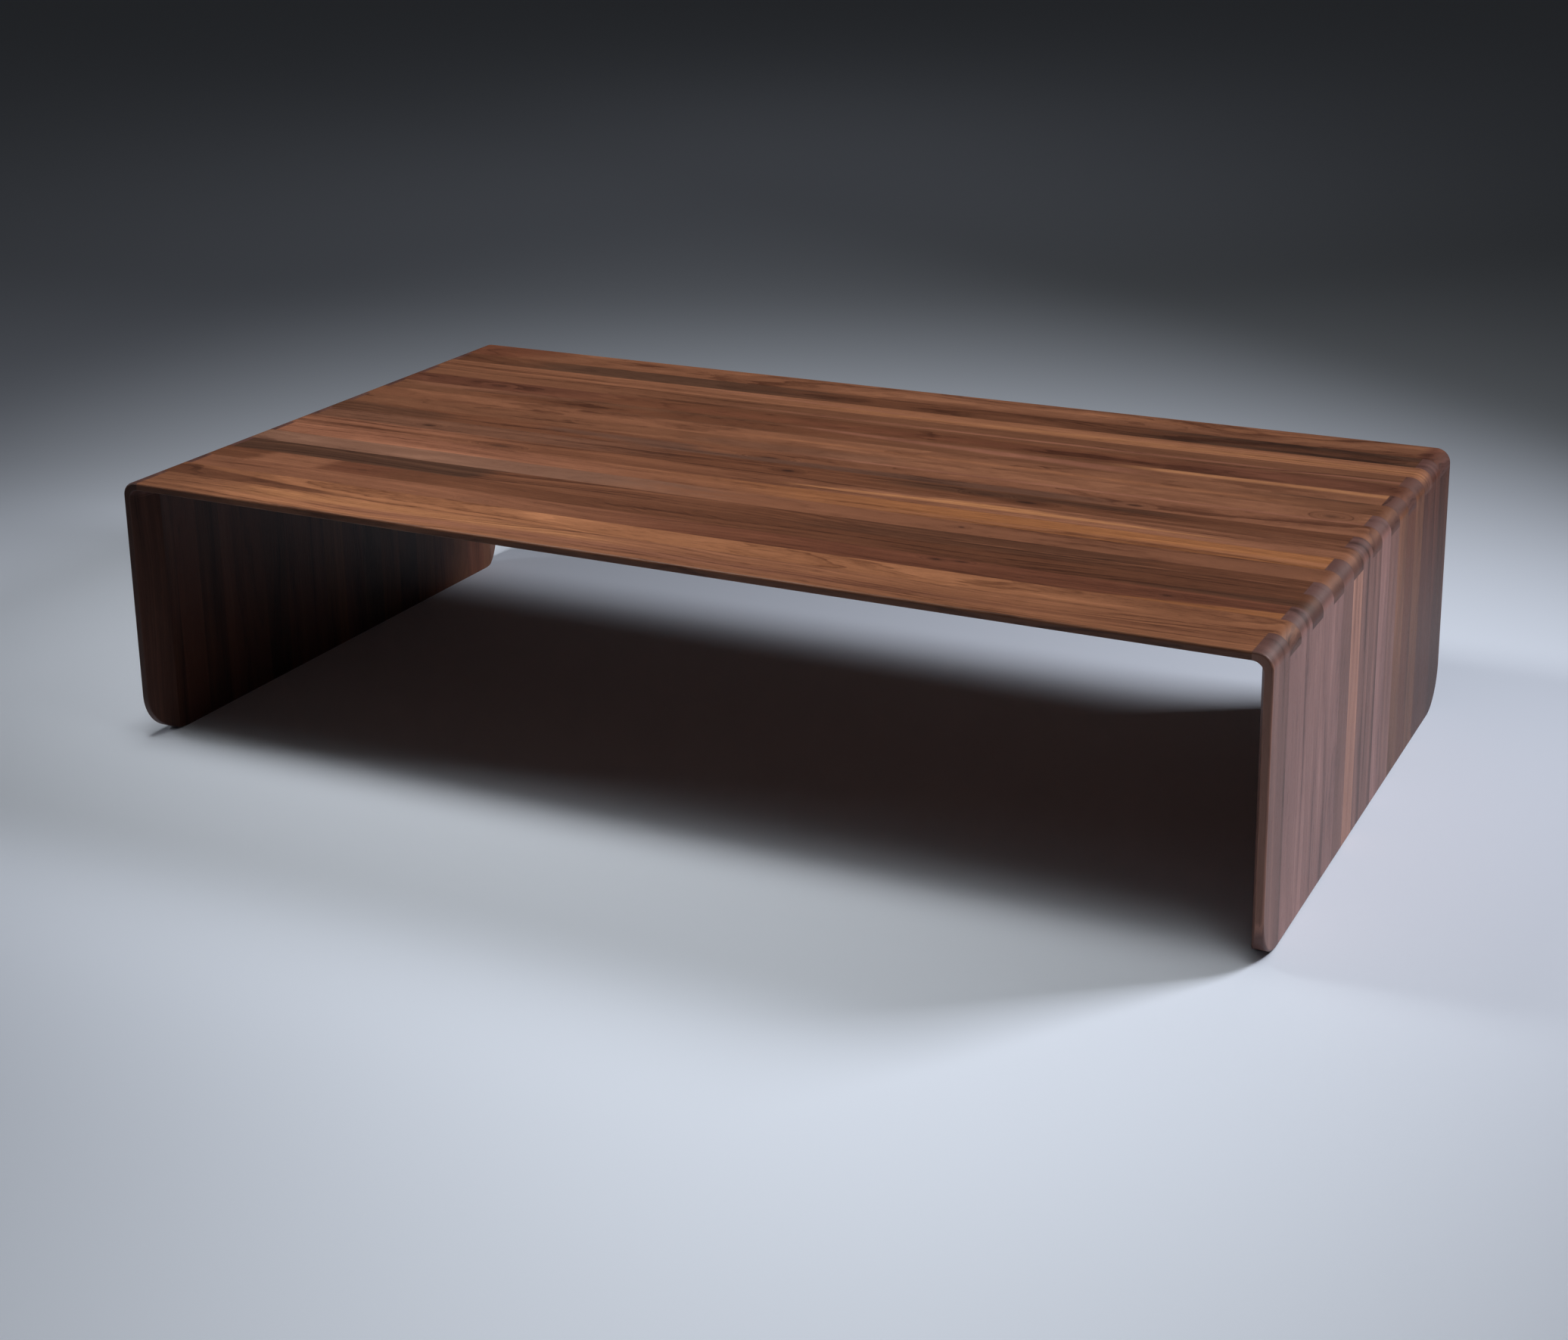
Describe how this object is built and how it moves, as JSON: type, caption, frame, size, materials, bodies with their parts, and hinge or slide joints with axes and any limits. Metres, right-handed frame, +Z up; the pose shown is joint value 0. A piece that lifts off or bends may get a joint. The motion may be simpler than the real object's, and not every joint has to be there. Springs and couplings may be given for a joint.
{
  "type": "coffee table",
  "caption": "Low waterfall coffee table of solid walnut staves: a top and two panel legs, finger-jointed at rounded corners, with bevelled long edges.",
  "frame": {"origin": "on the floor, under the middle of the table", "axes": "+X along the length, to the right as seen from the front; +Y from the front edge to the back edge; +Z up"},
  "size_m": [1.3, 0.714, 0.304],
  "materials": {
    "walnut_light": "satin",
    "walnut_mid": "satin",
    "walnut_brown": "satin",
    "walnut_dark": "satin"
  },
  "bodies": {
    "root": {"top_stave_01": "walnut_mid", "top_stave_02": "walnut_light", "top_stave_03": "walnut_brown", "top_stave_04": "walnut_brown", "top_stave_05": "walnut_dark", "top_stave_06": "walnut_mid", "top_stave_07": "walnut_light", "top_stave_08": "walnut_mid", "top_stave_09": "walnut_dark", "top_stave_10": "walnut_brown", "top_stave_11": "walnut_mid", "top_stave_12": "walnut_mid", "top_stave_13": "walnut_mid", "top_stave_14": "walnut_dark", "top_stave_15": "walnut_mid", "top_stave_16": "walnut_light", "top_stave_17": "walnut_dark", "top_stave_18": "walnut_mid", "left_leg_stave_01": "walnut_mid", "left_leg_stave_02": "walnut_light", "left_leg_stave_03": "walnut_mid", "left_leg_stave_04": "walnut_mid", "left_leg_stave_05": "walnut_brown", "left_leg_stave_06": "walnut_mid", "left_leg_stave_07": "walnut_mid", "left_leg_stave_08": "walnut_light", "left_leg_stave_09": "walnut_brown", "left_leg_stave_10": "walnut_mid", "left_leg_stave_11": "walnut_light", "left_leg_stave_12": "walnut_mid", "left_leg_stave_13": "walnut_brown", "left_leg_stave_14": "walnut_dark", "left_leg_stave_15": "walnut_mid", "left_leg_stave_16": "walnut_dark", "left_leg_stave_17": "walnut_brown", "left_leg_stave_18": "walnut_brown", "right_leg_stave_01": "walnut_mid", "right_leg_stave_02": "walnut_light", "right_leg_stave_03": "walnut_mid", "right_leg_stave_04": "walnut_mid", "right_leg_stave_05": "walnut_brown", "right_leg_stave_06": "walnut_mid", "right_leg_stave_07": "walnut_mid", "right_leg_stave_08": "walnut_light", "right_leg_stave_09": "walnut_brown", "right_leg_stave_10": "walnut_mid", "right_leg_stave_11": "walnut_light", "right_leg_stave_12": "walnut_mid", "right_leg_stave_13": "walnut_brown", "right_leg_stave_14": "walnut_dark", "right_leg_stave_15": "walnut_mid", "right_leg_stave_16": "walnut_dark", "right_leg_stave_17": "walnut_brown", "right_leg_stave_18": "walnut_brown"}
  },
  "joints": []
}
